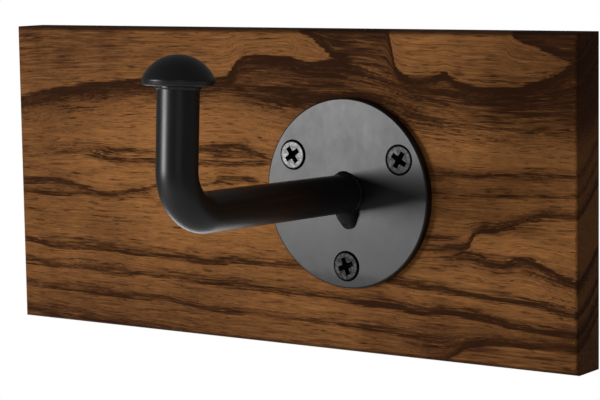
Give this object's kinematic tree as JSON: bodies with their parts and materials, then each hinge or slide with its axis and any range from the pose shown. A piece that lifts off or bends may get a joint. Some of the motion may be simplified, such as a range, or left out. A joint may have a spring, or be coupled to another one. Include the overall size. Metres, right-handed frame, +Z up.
{
  "type": "wall hook rack",
  "caption": "Stained board with an upturned round-bar hook on a screwed disc plate, domed end cap, and keyhole hangers let into its back.",
  "frame": {"origin": "on the wall plane (the board's flat back), straight behind the centre of the hook's round mounting plate", "axes": "+X to the right along the board, +Y into the wall, +Z up; the hook stands out towards -Y"},
  "size_m": [0.3, 0.1521, 0.1398],
  "materials": {
    "stained_wood": "open-grain hardwood, dark walnut stain, satin varnish",
    "black_coat": "satin black powder coat",
    "plate_screw_steel": "plain steel, slightly dulled",
    "hanger_zinc": "zinc-plated steel"
  },
  "bodies": {
    "root": {"board": "stained_wood", "mounting_plate": "black_coat", "hook_rod": "black_coat", "hook_cap": "black_coat", "cap_weld": "black_coat", "root_weld": "black_coat", "plate_screw_left": "plate_screw_steel", "plate_screw_right": "plate_screw_steel", "plate_screw_bottom": "plate_screw_steel", "keyhole_hanger_left": "hanger_zinc", "keyhole_hanger_right": "hanger_zinc", "hanger_screw_left_upper": "hanger_zinc", "hanger_screw_left_lower": "hanger_zinc", "hanger_screw_right_upper": "hanger_zinc", "hanger_screw_right_lower": "hanger_zinc"}
  },
  "joints": []
}
